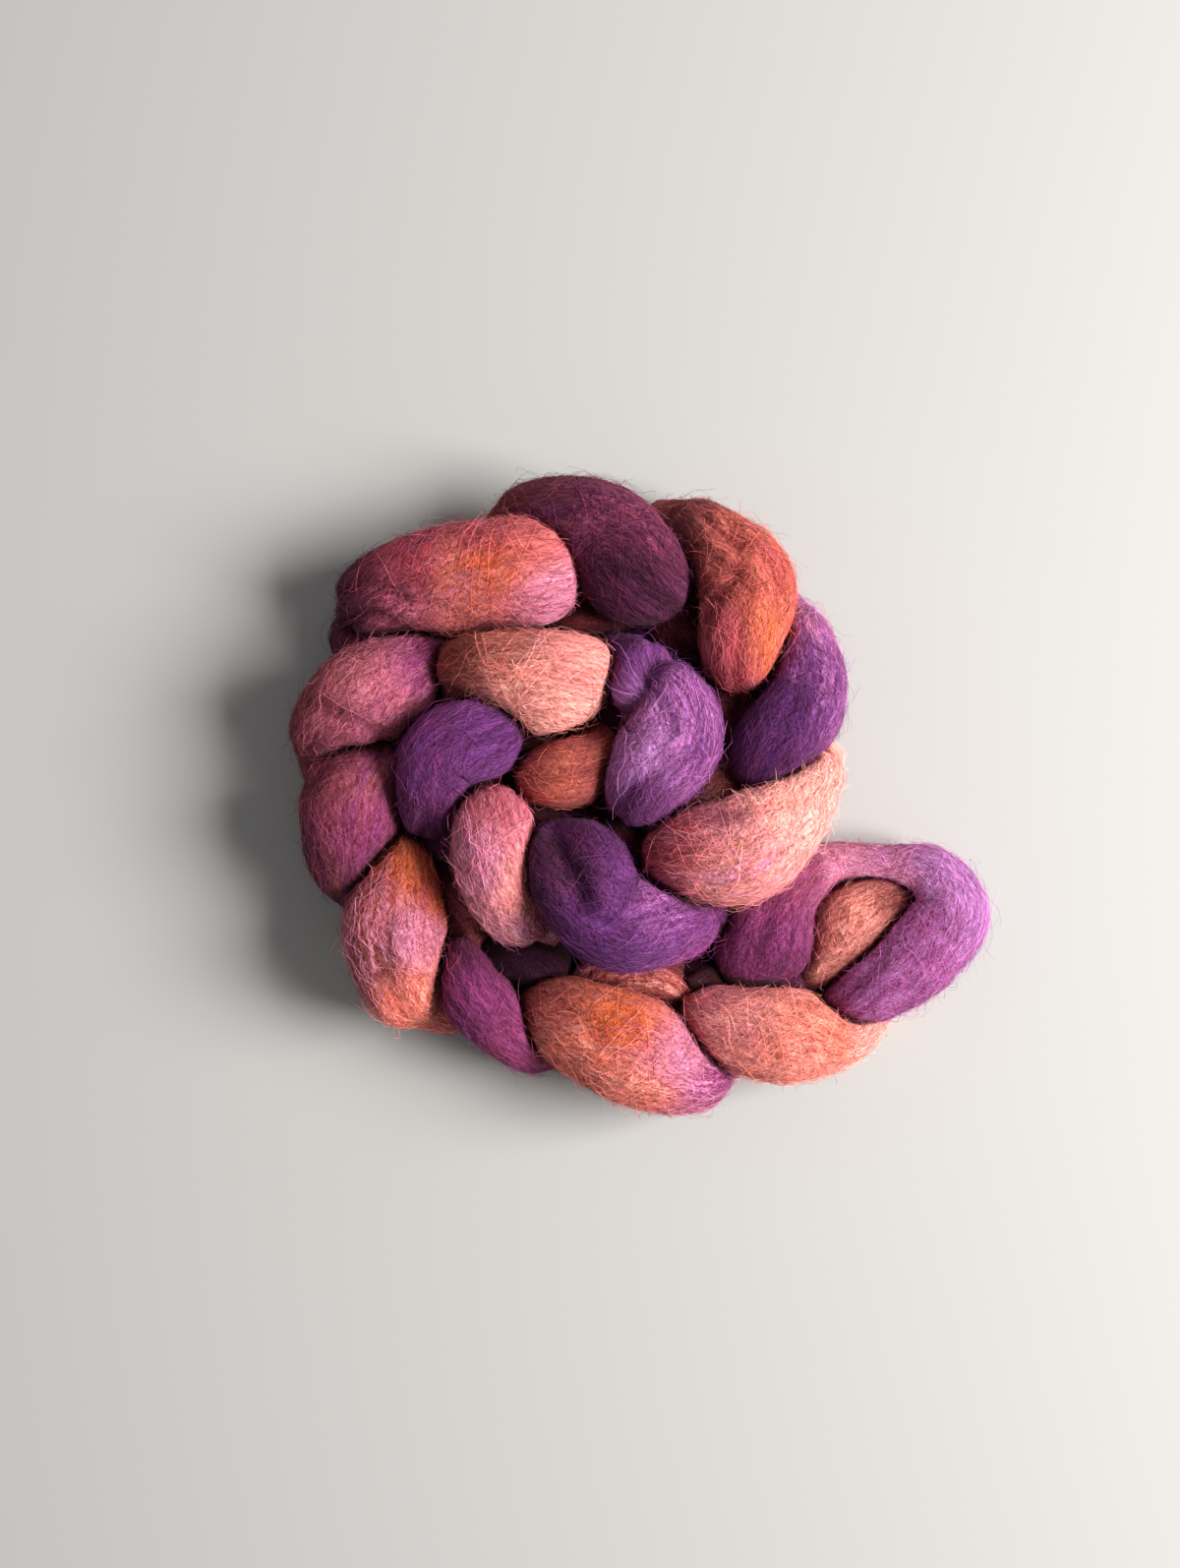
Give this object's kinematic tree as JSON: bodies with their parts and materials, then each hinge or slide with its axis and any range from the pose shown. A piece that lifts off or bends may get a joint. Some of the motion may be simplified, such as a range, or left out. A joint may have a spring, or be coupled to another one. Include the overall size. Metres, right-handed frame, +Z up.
{
  "type": "braid of wool roving",
  "caption": "One strand of combed, hand dyed wool top chained into a braid of soft loops and coiled flat in two turns, with its tail loop lying open at one side.",
  "frame": {"origin": "centre of the area it covers, on the surface it rests on", "axes": "+Z up from the surface; +X along its longest extent, toward the open tail loop; +Y across, away from the tail loop's side; seen from above the coil runs anticlockwise from its centre out to the tail"},
  "size_m": [0.2375, 0.2134, 0.0646],
  "materials": {
    "roving": "soft matte combed wool, hand dyed from violet to salmon"
  },
  "bodies": {
    "root": {"roving_strand": "roving"}
  },
  "joints": []
}
